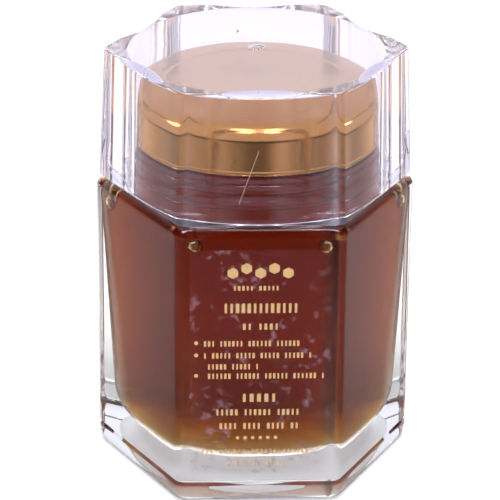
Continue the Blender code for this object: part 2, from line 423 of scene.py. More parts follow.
def feed(tree, socket, source):
    """Gives a socket another node's output, a colour or a plain value."""
    if isinstance(source, bpy.types.NodeSocket):
        tree.links.new(source, socket)
    elif socket.type == "RGBA":
        socket.default_value = (*source, 1.0)
    else:
        socket.default_value = source


def set_inputs(tree, made, **sources):
    for name, source in sources.items():
        feed(tree, made.inputs[name.replace("_", " ")], source)


def node(tree, kind, *sources, **properties):
    """A node with these properties, whose first sockets take the sources in turn."""
    made = tree.nodes.new(kind)
    for name, value in properties.items():
        setattr(made, name, value)
    for socket, source in zip(made.inputs, sources):
        feed(tree, socket, source)
    return made


def math_of(tree, operation, first, second):
    return node(tree, "ShaderNodeMath", first, second, operation=operation).outputs["Value"]


def mapped(tree, value, low, high, to_low=0.0, to_high=1.0, **properties):
    """The value, taken from one range to another and held to it."""
    made = node(tree, "ShaderNodeMapRange", clamp=True, **properties)
    set_inputs(tree, made, Value=value, From_Min=low, From_Max=high, To_Min=to_low, To_Max=to_high)
    return made.outputs["Result"]


def mixed(tree, factor, first, second, kind="RGBA"):
    """A blend of two colours or, with FLOAT, of two values."""
    made = node(tree, "ShaderNodeMix", data_type=kind)
    set_inputs(tree, made, Factor=factor, A=first, B=second)
    return made.outputs["Result"]


def noise(tree, place, scale, detail, roughness=0.5):
    made = node(tree, "ShaderNodeTexNoise")
    set_inputs(tree, made, Vector=place, Scale=scale, Detail=detail, Roughness=roughness)
    return made.outputs["Fac"]


def bumped(tree, height, distance, strength=1.0):
    """The normal of a surface that follows a height."""
    made = node(tree, "ShaderNodeBump")
    set_inputs(tree, made, Height=height, Distance=distance, Strength=strength)
    return made.outputs["Normal"]


def object_place(tree):
    return tree.nodes.new("ShaderNodeTexCoord").outputs["Object"]


def axes_of(tree, place):
    return node(tree, "ShaderNodeSeparateXYZ", place).outputs


def group_with_sockets(name, inputs, outputs):
    """An empty shader group with its named inputs and outputs."""
    group = bpy.data.node_groups.new(name, "ShaderNodeTree")
    for socket, kind, default in inputs:
        made = group.interface.new_socket(name=socket, in_out="INPUT", socket_type=kind)
        if default is not None:
            made.default_value = default
    for socket, kind in outputs:
        group.interface.new_socket(name=socket, in_out="OUTPUT", socket_type=kind)
    return group, group.nodes.new("NodeGroupInput").outputs, group.nodes.new("NodeGroupOutput")


def ripple_group():
    """The faint unevenness of a moulded surface, as a normal."""
    name = "moulded_ripple"
    if name in bpy.data.node_groups:
        return bpy.data.node_groups[name]
    inputs = (
        ("Vector", "NodeSocketVector", None),
        ("Scale", "NodeSocketFloat", 90.0),
        ("Height", "NodeSocketFloat", 0.00002),
    )
    group, given, end = group_with_sockets(name, inputs, [("Normal", "NodeSocketVector")])
    broad = noise(group, given["Vector"], given["Scale"], 1.0, 0.4)
    set_inputs(group, end, Normal=bumped(group, broad, given["Height"]))
    return group


def fleck_group():
    """Scattered irregular flecks, as a mask from 0 to 1."""
    name = "scattered_flecks"
    if name in bpy.data.node_groups:
        return bpy.data.node_groups[name]
    inputs = (
        ("Vector", "NodeSocketVector", None),
        ("Scale", "NodeSocketFloat", 400.0),
        ("Detail", "NodeSocketFloat", 4.0),
        ("Start", "NodeSocketFloat", 0.56),
        ("Full", "NodeSocketFloat", 0.64),
    )
    group, given, end = group_with_sockets(name, inputs, [("Mask", "NodeSocketFloat")])
    grain = noise(group, given["Vector"], given["Scale"], given["Detail"], 0.6)
    set_inputs(group, end, Mask=mapped(group, grain, given["Start"], given["Full"]))
    return group


def add_group(tree, group, **sources):
    """Uses a shader group and gives its outputs."""
    made = node(tree, "ShaderNodeGroup", node_tree=group)
    set_inputs(tree, made, **sources)
    return made.outputs


def flecks(tree, scale, detail, start, full):
    """Scattered flecks over the piece, as a mask."""
    sources = {"Vector": object_place(tree), "Scale": scale, "Detail": detail, "Start": start, "Full": full}
    return add_group(tree, fleck_group(), **sources)["Mask"]


def shaded(colour_value, share):
    return [min(1.0, share * value) for value in colour_value]


# Materials

GLASS_IOR = 1.52
HONEY_IOR = 1.49
PLASTIC_IOR = 1.49
BLACK = (0.0, 0.0, 0.0)
WHITE = (1.0, 1.0, 1.0)
FAINT_AMBER = (1.0, 0.98, 0.94)
STIPPLE_COLOUR = (0.96, 0.95, 0.98)
WEAR_COLOUR = (0.30, 0.17, 0.08)
FACET_COLOUR = (0.60, 0.56, 0.76)
CORNER_FROST = 0.20             # roughness of the cap's flat top outside its bore
CORNER_FADE = 0.0006            # the way over which the frost sets in
FADED_PRINT = (0.0140, 0.0160)  # heights between which the lowest print fades


def clear_material(name, tint, ior, ripple_scale, ripple_height, roughness=0.0):
    """A clear material with the faint unevenness of a moulded surface."""
    material, tree, shader = new_tree(name)
    set_inputs(tree, shader, Base_Color=tint, Roughness=roughness, IOR=ior, Transmission_Weight=1.0)
    place = object_place(tree)
    uneven = add_group(tree, ripple_group(), Vector=place, Scale=ripple_scale, Height=ripple_height)
    set_inputs(tree, shader, Normal=uneven["Normal"])
    return material, tree, shader


def glass_material(name, tint, wetted):
    """Clear moulded glass. Where honey wets it, its inner wall sends nothing back."""
    material, tree, shader = clear_material(name, tint, GLASS_IOR, 70.0, 0.000018)
    if wetted:
        set_inputs(tree, shader, Specular_Tint=BLACK)
    return material


def stippled_material():
    """The finely stippled underside, which scatters light instead of mirroring the honey."""
    material, tree, shader = new_tree("stippled_glass")
    stipple = noise(tree, object_place(tree), 1500.0, 2.0, 0.6)
    set_inputs(
        tree, shader, Base_Color=STIPPLE_COLOUR, Roughness=0.55, IOR=GLASS_IOR, Transmission_Weight=0.8,
        Normal=bumped(tree, stipple, 0.00005, 0.5),
    )
    return material


def bubble_material():
    """The smooth wall of an air bubble, seen from inside the honey."""
    return clear_material("bubble_wall", FAINT_AMBER, HONEY_IOR, 400.0, 0.00002)[0]


def honey_material(honey):
    """Dark amber honey, which is clear but takes in blue and green light first."""
    material, tree, shader = clear_material("amber_honey", FAINT_AMBER, HONEY_IOR, 45.0, 0.00001, 0.20)
    set_inputs(tree, shader, Specular_Tint=BLACK)
    body = node(tree, "ShaderNodeVolumeAbsorption", honey.colour, honey.density)
    set_inputs(tree, tree.nodes["Material Output"], Volume=body.outputs["Volume"])
    return material


def lid_material(lid):
    """Gold lacquer on tinplate, with a fine metallic grain, soft clouds and small wear flecks."""
    material, tree, shader = new_tree("gold_lacquer")
    place = object_place(tree)
    grain = noise(tree, place, 5200.0, 2.0, 0.6)
    clouds = noise(tree, place, 140.0, 3.0)
    shades = mixed(tree, grain, shaded(lid.colour, 0.86), shaded(lid.colour, 1.14))
    worn = mixed(tree, flecks(tree, 900.0, 2.0, 0.70, 0.74), shades, WEAR_COLOUR)
    set_inputs(
        tree, shader, Base_Color=worn, Metallic=1.0, Roughness=mapped(tree, clouds, 0.35, 0.65, 0.16, 0.23),
        Normal=bumped(tree, grain, 0.000004, 0.6),
    )
    return material


def cap_material(cap):
    """Clear moulded plastic with a faint cool tint, frosted on the corners of its flat top."""
    material, tree, shader = clear_material("clear_plastic", cap.colour, PLASTIC_IOR, 110.0, 0.000008)
    place = object_place(tree)
    on_top = math_of(tree, "GREATER_THAN", axes_of(tree, place)["Z"], CAP_HIGH.z - 0.0001)
    flat = node(tree, "ShaderNodeVectorMath", place, (1.0, 1.0, 0.0), operation="MULTIPLY")
    reach = node(tree, "ShaderNodeVectorMath", flat.outputs["Vector"], operation="LENGTH").outputs["Value"]
    bore = cap.bore_top_radius
    in_corner = mapped(tree, reach, bore, bore + CORNER_FADE, 0.0, CORNER_FROST)
    set_inputs(tree, shader, Roughness=math_of(tree, "MULTIPLY", in_corner, on_top))
    return material


def facet_material():
    """The lens-shaped facets on the cap's top edges, cut and slightly frosted."""
    material, tree, shader = new_tree("cut_facet")
    clouds = noise(tree, object_place(tree), 900.0, 3.0)
    set_inputs(
        tree, shader, Base_Color=FACET_COLOUR, IOR=PLASTIC_IOR, Transmission_Weight=0.35,
        Roughness=mapped(tree, clouds, 0.3, 0.7, 0.25, 0.45),
    )
    return material


def mark_material(name, colour_value):
    """A small mark on the cap: a scratch or a speck."""
    material, tree, shader = new_tree(name)
    grain = flecks(tree, 5000.0, 2.0, 0.40, 0.60)
    shades = mixed(tree, grain, colour_value, shaded(colour_value, 0.6))
    set_inputs(tree, shader, Base_Color=shades, Roughness=0.6)
    return material


def film_material(label):
    """Thin satin film: nearly clear, with cloudy flecks where its glue has not taken."""
    material, tree, shader = new_tree("label_film")
    small = flecks(tree, 520.0, 5.0, 0.53, 0.64)
    broad = flecks(tree, 150.0, 4.0, 0.47, 0.62)
    cover = mapped(tree, math_of(tree, "MULTIPLY", small, broad), 0.0, 1.0, 0.02, 0.36)
    set_inputs(tree, shader, Base_Color=label.film_colour, Roughness=0.45, Alpha=cover)
    return material


def ink_material(label):
    """Gold foil print with slightly uneven cover, faded in its lowest rows."""
    material, tree, shader = new_tree("gold_print")
    grain = flecks(tree, 2600.0, 2.0, 0.40, 0.70)
    shades = mixed(tree, grain, label.ink_colour, shaded(label.ink_colour, 0.8))
    faded = mapped(tree, axes_of(tree, object_place(tree))["Z"], *FADED_PRINT, 0.45, 1.0)
    set_inputs(tree, shader, Base_Color=shades, Roughness=0.4, Metallic=0.2, Alpha=faded)
    return material



# Outlines of the glass and of its hollow

def hollow_stations(settings, glass, growth, top):
    """Rings of the hollow from its floor up: six-sided below, round in the neck."""
    stations = []
    low = settings.low_half_width
    floor_centre = (low - settings.floor_round, settings.floor_height + settings.floor_round)
    for distance, height in arc(*floor_centre, settings.floor_round + growth, -90, 0, 12):
        corner_round = min(settings.low_corner_round, 0.9 * distance)
        stations.append((distance, corner_round, height))
    low_height = floor_centre[1]
    wall_steps = 12
    for share in shares(wall_steps)[1:]:
        distance = blended(low, settings.top_half_width, share) + growth
        corner_round = blended(settings.low_corner_round, settings.top_corner_round, share) + growth
        stations.append((distance, corner_round, blended(low_height, settings.top_height, share)))
    ceiling_round = settings.top_half_width - settings.collar_inside
    ceiling_steps = 14
    for distance, height in arc(
        settings.collar_inside, settings.top_height, ceiling_round + growth, 0, 84, ceiling_steps
    )[1:]:
        share = (distance - settings.collar_inside) / (ceiling_round + growth)
        round_share = smooth_step(1.0 - share)
        corner_round = blended(settings.top_corner_round, 0.97 * distance, round_share)
        stations.append((distance, corner_round, height))
    inside = settings.collar_inside + growth
    mouth = glass.mouth_radius + growth
    neck = [
        (inside, settings.top_height + ceiling_round + 0.0012),
        (inside, glass.collar_top - 0.0034),
        (inside - 0.0002, glass.collar_top - 0.0022),
        (blended(inside, mouth, 0.20), glass.collar_top - 0.0012),
        (blended(inside, mouth, 0.50), glass.collar_top - 0.0001),
        (blended(inside, mouth, 0.80), glass.collar_top + 0.0010),
        (blended(inside, mouth, 0.97), glass.collar_top + 0.0020),
        (mouth, glass.collar_top + 0.0030),
        (mouth, top),
    ]
    stations += [(radius, radius, height) for radius, height in neck]
    return stations


def underside_stations(glass):
    """The hollow under the base, from near its middle out to the ring that the jar stands on."""
    radius, rise = glass.push_up_radius, glass.push_up_height
    stations = []
    for share in shares(14)[1:]:
        height = rise * (1.0 - smooth_step(max(0.0, (share - 0.62) / 0.38)))
        stations.append((radius * share, radius * share, height))
    return stations


# The mould line above the heel: depth, and height over the heel's round
GROOVE = (
    (0.00006, 0.0002), (0.00034, 0.0007), (0.00040, 0.00085),
    (0.00034, 0.0010), (0.00006, 0.0013), (0.0, 0.0014),
)


def body_stations(glass):
    """The flat-sided body from its heel to its shoulder."""
    stations = []
    heel = glass.heel_round
    for across, height in arc(0.0, heel, heel, -90, 0, 12):
        inwards = glass.heel_depth * (1.0 - across / heel)
        stations.append((glass.half_width - inwards, glass.corner_round + inwards, height))
    for inwards, height in GROOVE:
        stations.append((glass.half_width - inwards, glass.corner_round + inwards, heel + height))
    round_over = glass.shoulder_round
    centre = (glass.half_width - round_over, glass.shoulder_height - round_over)
    for distance, height in arc(*centre, round_over, 0, 90, 12):
        inwards = glass.half_width - distance
        stations.append((distance, glass.corner_round + inwards, height))
    return stations


def bead_profile(base_radius, height, half_height, rise):
    """A low ridge round the collar."""
    turns = [math.pi * share for share in shares(8)]
    return [
        (base_radius + rise * math.sin(turn) ** 2, height - half_height * math.cos(turn)) for turn in turns
    ]


def collar_stations(glass):
    """The round collar with its two beads, the neck under the lid, and the rim."""
    fillet = 0.00042
    bead_half_height = 0.0011
    lower_bead = blended(glass.shoulder_height, glass.collar_top, 0.41)
    upper_bead = blended(glass.shoulder_height, glass.collar_top, 0.74)

    def collar_radius(height):
        share = (height - glass.shoulder_height) / (glass.collar_top - glass.shoulder_height)
        return blended(glass.collar_radius, glass.collar_top_radius, share)

    profile = arc(glass.collar_radius + fillet, glass.shoulder_height + fillet, fillet, 270, 180, 5)
    for height in (lower_bead, upper_bead):
        profile += bead_profile(collar_radius(height), height, bead_half_height, glass.bead_rise)
    edge = glass.collar_top_radius - glass.neck_radius
    profile += arc(glass.neck_radius, glass.collar_top - edge, edge, 0, 88, 8)
    profile.append((glass.neck_radius, glass.collar_top + 0.0001))
    rim, top = glass.rim_round, glass.rim_height
    profile += arc(glass.neck_radius - rim, top - rim, rim, 0, 90, 6)
    profile += arc(glass.mouth_radius + rim, top - rim, rim, 90, 180, 6)
    return [(radius, radius, height) for radius, height in profile]


STIPPLE_REACH = 0.0250          # the stipple covers the underside this far from the axis
STIPPLE_SLOPE = -0.6            # where it looks at least this much downwards


def sort_faces(piece, settings, glass, top):
    """Gives the faces that the honey wets the second material and the underside the third."""
    for face in piece.data.polygons:
        middle = face.center
        reach = math.hypot(middle.x, middle.y)
        outward = face.normal.x * middle.x + face.normal.y * middle.y
        in_hollow = middle.z > settings.floor_height - 0.0001 and middle.z < top
        faces_axis = outward < 0.0 or (reach < settings.low_half_width and face.normal.z > 0.5)
        if in_hollow and faces_axis and reach < settings.top_half_width / math.cos(math.radians(30)):
            face.material_index = 1
        underside = middle.z < glass.push_up_height + 0.0001 and face.normal.z < STIPPLE_SLOPE
        if underside and reach < STIPPLE_REACH:
            face.material_index = 2


class HONEYJAR_OT_glass(bpy.types.Operator):
    """Model the thick-walled glass jar with its hollow, shoulder, collar and neck"""

    bl_idname = "honeyjar.glass"
    bl_label = "Glass jar"

    def execute(self, context):
        glass = context.scene.honey_jar.glass
        honey = context.scene.honey_jar.honey
        hollow = hollow_stations(honey, glass, 0.0, glass.rim_height - 3.0 * glass.rim_round)
        stations = underside_stations(glass) + body_stations(glass) + collar_stations(glass) + hollow[::-1]
        piece = build_from_rings("glass_body", stations)
        shade(piece, 40.0)
        dry = glass_material("clear_glass", glass.tint, wetted=False)
        wet = glass_material("wetted_glass", glass.tint, wetted=True)
        dress(piece, dry, wet, stippled_material())
        sort_faces(piece, honey, glass, honey.level)
        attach(piece, "root")
        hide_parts("glass_jar")
        return {"FINISHED"}


# Honey and its air bubbles

BUBBLE_REACH = 0.0291           # axis to the middle of a bubble
BUBBLE_TURN = 0.8               # degrees from the corner's direction
BUBBLE_HEIGHT = 0.0606
BUBBLE_RADIUS = 0.00180
SMALL_BUBBLE_RADIUS = 0.00060
SMALL_BUBBLE_TURN = 6.5         # degrees from the large one


def bubble_model():
    """A closed hollow of unit size: a sphere whose faces look into the air."""
    deselect_everything()
    bpy.ops.mesh.primitive_uv_sphere_add(segments=40, ring_count=24, radius=1.0)
    bubble = name_new_piece("bubble")
    start_editing()
    bpy.ops.mesh.flip_normals()
    stop_editing()
    bpy.ops.object.shade_smooth()
    dress(bubble, bubble_material())
    return bubble


def add_bubble(model, reach, angle, height, radius, flatness):
    place = (reach * math.cos(angle), reach * math.sin(angle), height)
    return copy_shape(model, place, (radius, radius, flatness * radius))


def bubbles_under_shoulder():
    """One large and one small bubble in each upper corner of the honey, each a little different."""
    model = bubble_model()
    bubbles = []
    for corner in range(CORNERS):
        side = 1.0 if corner % 2 == 0 else -1.0
        angle = math.radians(60.0 * corner + side * BUBBLE_TURN)
        uneven = math.sin(2.4 * corner + 0.7)
        reach, height = BUBBLE_REACH + 0.0002 * uneven, BUBBLE_HEIGHT - 0.0003 * uneven
        bubbles.append(add_bubble(model, reach, angle, height, BUBBLE_RADIUS * (1.0 + 0.08 * uneven), 0.92))
        angle -= side * math.radians(SMALL_BUBBLE_TURN)
        reach, height = BUBBLE_REACH - 0.0006, BUBBLE_HEIGHT + 0.0014
        bubbles.append(add_bubble(model, reach, angle, height, SMALL_BUBBLE_RADIUS, 0.9))
    drop_model(model)
    return bubbles


class HONEYJAR_OT_honey(bpy.types.Operator):
    """Model the honey, which reaches just into the wall, with air trapped under the shoulder"""

    bl_idname = "honeyjar.honey"
    bl_label = "Honey"

    def execute(self, context):
        glass = context.scene.honey_jar.glass
        honey = context.scene.honey_jar.honey
        piece = build_from_rings("honey_fill", hollow_stations(honey, glass, honey.overlap, honey.level))
        shade(piece, 40.0)
        dress(piece, honey_material(honey))
        join_into(piece, bubbles_under_shoulder())
        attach(piece, "root")
        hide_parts("honey")
        return {"FINISHED"}



# Lid

def lid_profile(lid):
    """The outside of the sheet, from the middle of the panel over the rim to the curled edge."""
    panel, top = lid.panel_radius, lid.top
    sunk = top - lid.panel_drop
    profile = [(0.0, sunk), (0.4 * panel, sunk), (0.8 * panel, sunk)]
    for share in shares(10):
        rise = blended(sunk, top, smooth_step(share)) + lid.ridge_rise * math.sin(math.pi * share) ** 2
        profile.append((panel + lid.panel_slope * (share - 0.5), rise))
    profile += arc(lid.radius - lid.edge_round, top - lid.edge_round, lid.edge_round, 90, 0, 18)
    curl_height, curl_rise = 0.0012, 0.0002
    profile.append((lid.radius, lid.bottom + curl_height + 0.0030))
    for share in shares(8):
        height = blended(lid.bottom + curl_height, lid.bottom + 0.0001, share)
        profile.append((lid.radius + curl_rise * math.sin(math.pi * min(1.0, share * 1.05)), height))
    profile.append((lid.radius - 0.0003, lid.bottom))
    return profile


class HONEYJAR_OT_lid(bpy.types.Operator):
    """Turn the gold twist-off lid with its sunk panel and curled lower edge"""

    bl_idname = "honeyjar.lid"
    bl_label = "Twist-off lid"

    def execute(self, context):
        lid = context.scene.honey_jar.lid
        piece = turn_profile("gold_lid", lid_profile(lid))
        apply_modifier(piece, "SOLIDIFY", thickness=lid.sheet, offset=-1.0, use_rim=True)
        shade(piece, 50.0)
        dress(piece, lid_material(lid))
        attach(piece, "root")
        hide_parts("twist_lid")
        return {"FINISHED"}


# Over-cap

FACET_TILT = (0.15, 0.97)       # how far up a facet looks: less is the side, more the flat top
# The gate mark in the middle of the plate: radius, and height over the plate
GATE_MARK = ((0.0019, 0.0), (0.0016, -0.00018), (0.0011, -0.00018), (0.0009, 0.0), (0.0004, 0.0))


def cap_stations(cap):
    """The bore from the middle of the plate down, round the bottom edge and up the outside."""
    ceiling = CAP_HIGH.z - cap.plate
    fillet = cap.bore_fillet
    stations = [(share * cap.bore_top_radius,) * 2 + (ceiling,) for share in (0.25, 0.7)]
    bore = arc(cap.bore_top_radius - fillet, ceiling - fillet, fillet, 90, 0, 8)
    for share in shares(6)[1:-1]:
        radius = blended(cap.bore_top_radius, cap.bore_bottom_radius, share)
        bore.append((radius, blended(ceiling - fillet, CAP_LOW.z, share)))
    bore += arc(cap.bore_bottom_radius + 0.0002, CAP_LOW.z + 0.0002, 0.0002, 180, 270, 4)
    stations += [(radius, radius, height) for radius, height in bore]
    edge = cap.edge_round
    for distance, height in arc(cap.bottom_half_width - edge, CAP_LOW.z + edge, edge, -90, 0, 6):
        stations.append((distance, cap.corner_round, height))
    for distance, height in arc(cap.top_half_width - edge, CAP_HIGH.z - edge, edge, 0, 90, 6):
        stations.append((distance, cap.corner_round, height))
    stations += [(radius, radius, CAP_HIGH.z + rise) for radius, rise in GATE_MARK]
    return stations


def cut_top_facets(piece, cap):
    """Slides the rings of the top edge apart in the middle of each side, which leaves a lens shape."""
    bpy.ops.object.mode_set(mode="EDIT")
    edited = bmesh.from_edit_mesh(piece.data)
    edge = cap.edge_round
    for vertex in edited.verts:
        reach = math.hypot(vertex.co.x, vertex.co.y)
        if vertex.co.z < CAP_HIGH.z - 1.01 * edge or reach < cap.top_half_width - 1.01 * edge:
            continue
        middle, _, across = on_side(vertex.co.x, vertex.co.y)
        outward = Vector((math.cos(middle), math.sin(middle), 0.0))
        if abs(across) >= cap.facet_reach:
            continue
        cut = 1.0 - (across / cap.facet_reach) ** 2
        drop = CAP_HIGH.z - vertex.co.z
        share = 1.0 - math.degrees(math.acos(max(-1.0, min(1.0, 1.0 - drop / edge)))) / 90.0
        vertex.co -= outward * (cap.facet_back * cut * share)
        vertex.co.z -= cap.facet_down * cut * (1.0 - share)
    bmesh.update_edit_mesh(piece.data)
    bpy.ops.object.mode_set(mode="OBJECT")


def sort_facets(piece, cap):
    """Gives the lens-shaped facets their frosted finish."""
    for face in piece.data.polygons:
        middle = face.center
        _, outward, across = on_side(middle.x, middle.y)
        near_edge = outward > cap.top_half_width - cap.facet_back - 0.0003
        tilted = FACET_TILT[0] < face.normal.z < FACET_TILT[1]
        within = abs(across) < cap.facet_reach - 0.0004
        if middle.z > CAP_HIGH.z - cap.facet_down - 0.0002 and near_edge and tilted and within:
            face.material_index = 1


# Marks on the cap's front side (x, z) and on its plate (x, y): name, from, to, half thickness, and
# which of the three colours
CAP_MARKS = (
    ("scratch", (-0.0006, 0.0838), (-0.0048, 0.0717), 0.00004, 0),
    ("speck_front", (-0.0073, 0.0957), (-0.0070, 0.0957), 0.00018, 1),
)
PLATE_MARKS = (
    ("fleck", (-0.0040, 0.0098), (-0.0036, 0.0112), 0.00016, 2),
    ("dust_left", (-0.0118, 0.0030), (-0.0116, 0.0031), 0.00008, 1),
    ("dust_right", (0.0096, -0.0064), (0.0098, -0.0062), 0.00007, 1),
)


def add_mark(name, start, end, thickness):
    """A thin six-sided sliver from one point to another."""
    start, end = Vector(start), Vector(end)
    middle = (start + end) / 2.0
    deselect_everything()
    bpy.ops.mesh.primitive_cylinder_add(
        vertices=6, radius=thickness, depth=(end - start).length, location=middle,
        rotation=(end - start).to_track_quat("Z", "Y").to_euler(),
    )
    mark = name_new_piece(name)
    apply_place(mark)
    start_editing()
    bpy.ops.mesh.bevel(offset=0.3 * thickness, segments=2, affect="EDGES")
    stop_editing()
    return mark


class HONEYJAR_OT_marks(bpy.types.Operator):
    """Add the hairline scratch and the few specks on the over-cap"""

    bl_idname = "honeyjar.marks"
    bl_label = "Marks on the cap"

    def execute(self, context):
        cap = context.scene.honey_jar.cap
        kinds = (
            mark_material("scratch_mark", (0.80, 0.62, 0.45)),
            mark_material("dark_speck", (0.05, 0.04, 0.04)),
            mark_material("brown_fleck", (0.40, 0.16, 0.10)),
        )
        marks = []
        for name, start, end, thickness, kind in CAP_MARKS:
            ends = []
            for x, z in (start, end):
                share = (z - CAP_LOW.z) / (CAP_HIGH.z - CAP_LOW.z)
                ends.append((x, -blended(cap.bottom_half_width, cap.top_half_width, share), z))
            marks.append(add_mark(name, *ends, thickness))
            dress(marks[-1], kinds[kind])
        for name, start, end, thickness, kind in PLATE_MARKS:
            height = CAP_HIGH.z + 0.3 * thickness
            marks.append(add_mark(name, (*start, height), (*end, height), thickness))
            dress(marks[-1], kinds[kind])
        join_into(marks[0], marks[1:])
        piece = name_new_piece("cap_marks")
        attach(piece, "root")
        return {"FINISHED"}


class HONEYJAR_OT_cap(bpy.types.Operator):
    """Model the clear over-cap, six-sided outside and round inside"""

    bl_idname = "honeyjar.cap"
    bl_label = "Over-cap"

    def execute(self, context):
        cap = context.scene.honey_jar.cap
        piece = build_from_rings("clear_cap", cap_stations(cap))
        cut_top_facets(piece, cap)
        shade(piece, 35.0)
        dress(piece, cap_material(cap), facet_material())
        sort_facets(piece, cap)
        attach(piece, "root")
        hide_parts("over_cap")
        return {"FINISHED"}


# Label and its print

class HONEYJAR_OT_film(bpy.types.Operator):
    """Model the clear film label on the front face"""

    bl_idname = "honeyjar.film"
    bl_label = "Label film"

    def execute(self, context):
        label = context.scene.honey_jar.label
        glass = context.scene.honey_jar.glass
        middle = (LABEL_LOW + LABEL_HIGH) / 2.0
        size = LABEL_HIGH - LABEL_LOW
        depth = -(glass.half_width + label.lift + label.thickness / 2.0)
        deselect_everything()
        bpy.ops.mesh.primitive_cube_add(size=1.0, location=(middle.x, depth, middle.z))
        piece = name_new_piece("film_label")
        start_editing()
        bpy.ops.transform.resize(value=(size.x, label.thickness, size.z))
        bpy.ops.mesh.select_mode(type="EDGE")
        bpy.ops.mesh.select_all(action="DESELECT")
        edited = bmesh.from_edit_mesh(piece.data)
        for edge in edited.edges:
            along = edge.verts[0].co - edge.verts[1].co
            edge.select = abs(along.x) < 1e-6 and abs(along.z) < 1e-6
        bmesh.update_edit_mesh(piece.data)
        bpy.ops.mesh.bevel(offset=label.corner_round, segments=8, affect="EDGES")
        stop_editing()
        apply_place(piece)
        dress(piece, film_material(label))
        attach(piece, "root")
        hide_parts("label")
        return {"FINISHED"}


BAR, HEXAGON, DOT = 4, 6, 16    # corners of the three printed shapes
STROKE_SHARE = 0.76             # how much of its row's height a stroke takes
STROKE_WIDTHS = (0.42, 0.58)    # shares of the pitch


def shape_model(label, corners):
    """The model of a printed shape, of unit width and height: a bar with 4 corners, a hexagon or a dot."""
    deselect_everything()
    bpy.ops.mesh.primitive_cylinder_add(vertices=corners, radius=0.5, depth=1.0)
    shape = name_new_piece("print_shape")
    start_editing()
    middle, fit = (0.0, 0.0, 0.0), 1.0
    if corners == BAR:
        bpy.ops.transform.rotate(value=math.radians(45.0), orient_axis="Z", center_override=middle)
        fit = math.sqrt(2.0)
    bpy.ops.transform.rotate(value=math.radians(90.0), orient_axis="X", center_override=middle)
    bpy.ops.transform.resize(value=(fit, label.ink_thickness, fit), center_override=middle)
    stop_editing()
    return shape


def stroke_places(left, right, low, high, pitch, gap_every, row):
    """A row of short upright strokes of one height, grouped with gaps."""
    places = []
    count = max(1, int(round((right - left) / pitch)))
    height = STROKE_SHARE * (high - low)
    for index in range(count):
        if (index + row) % gap_every == gap_every - 1:
            continue
        uneven = math.sin(5.1 * index + 1.9 * row)
        narrow, wide = STROKE_WIDTHS
        width = (narrow if uneven > -0.2 else wide) * pitch
        places.append((left + (index + 0.5) * (right - left) / count, low + height / 2.0, width, height))
    return places


PRINT_ROWS = (
    # left, right, low, high, stroke pitch, gap after
    (-0.0060, 0.0051, 0.0520, 0.0534, 0.00095, 6),
    (-0.0081, 0.0084, 0.0466, 0.0496, 0.00130, 20),
    (-0.0040, 0.0042, 0.0426, 0.0445, 0.00110, 5),
    (-0.0124, 0.0097, 0.0386, 0.0403, 0.00090, 7),
    (-0.0124, 0.0115, 0.0357, 0.0374, 0.00090, 6),
    (-0.0124, -0.0001, 0.0330, 0.0347, 0.00090, 6),
    (-0.0124, 0.0144, 0.0307, 0.0324, 0.00090, 7),
    (-0.0041, 0.0040, 0.0250, 0.0276, 0.00150, 20),
    (-0.0097, 0.0090, 0.0217, 0.0236, 0.00105, 7),
    (-0.0100, 0.0089, 0.0183, 0.0202, 0.00105, 5),
    (-0.0129, 0.0122, 0.0121, 0.0136, 0.00100, 7),
    (-0.0072, 0.0063, 0.0091, 0.0106, 0.00100, 5),
)
BULLET_HEIGHTS = (0.03945, 0.0365, 0.0315)
BULLET_X = -0.0139
BULLET_SIZE = 0.0009
DOT_ROW_HEIGHT = 0.0161
DOT_ROW = (-0.0047, 0.0037, 6)
DOT_SIZE = 0.0008
COMB_HEIGHT = 0.0564
COMB_CELL = 0.0030
COMB_CELLS = 5


def comb_places():
    """The heading ornament: a row of plain upright hexagons, high and low in turn."""
    size = 0.88 * COMB_CELL
    offsets = [(0.0008 if index % 2 else -0.0003) for index in range(COMB_CELLS)]
    return [
        ((index - (COMB_CELLS - 1) / 2.0) * COMB_CELL, COMB_HEIGHT + offset, size, size)
        for index, offset in enumerate(offsets)
    ]


def dot_places():
    """Three bullets in front of the text rows, and a row of small dots."""
    first, last, count = DOT_ROW
    bullets = [(BULLET_X, height, BULLET_SIZE, BULLET_SIZE) for height in BULLET_HEIGHTS]
    dots = [(blended(first, last, share), DOT_ROW_HEIGHT, DOT_SIZE, DOT_SIZE) for share in shares(count - 1)]
    return bullets + dots


class HONEYJAR_OT_print(bpy.types.Operator):
    """Print plain gold bars, dots and a row of hexagons on the film"""

    bl_idname = "honeyjar.print"
    bl_label = "Gold print"

    def execute(self, context):
        label = context.scene.honey_jar.label
        glass = context.scene.honey_jar.glass
        depth = -(glass.half_width + label.lift + label.thickness + INK_GAP + label.ink_thickness / 2.0)
        strokes = []
        for number, row in enumerate(PRINT_ROWS):
            strokes += stroke_places(*row, number)
        shapes = []
        for corners, places in ((HEXAGON, comb_places()), (BAR, strokes), (DOT, dot_places())):
            model = shape_model(label, corners)
            for x, z, width, height in places:
                shapes.append(copy_shape(model, (x, depth, z), (width, 1.0, height)))
            drop_model(model)
        join_into(shapes[0], shapes[1:])
        piece = name_new_piece("gold_print")
        dress(piece, ink_material(label))
        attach(piece, "root")
        return {"FINISHED"}



# Studio

CAMERA_PLACE = (-0.0242, -0.54895, 0.29099)
CAMERA_TURN = -2.417            # degrees about the upright axis
CAMERA_TILT = 66.117            # degrees from looking straight down
CAMERA_ROLL = 0.565             # degrees about the line of sight
CAMERA_LENS = 190.04
CAMERA_SENSOR = 36.0


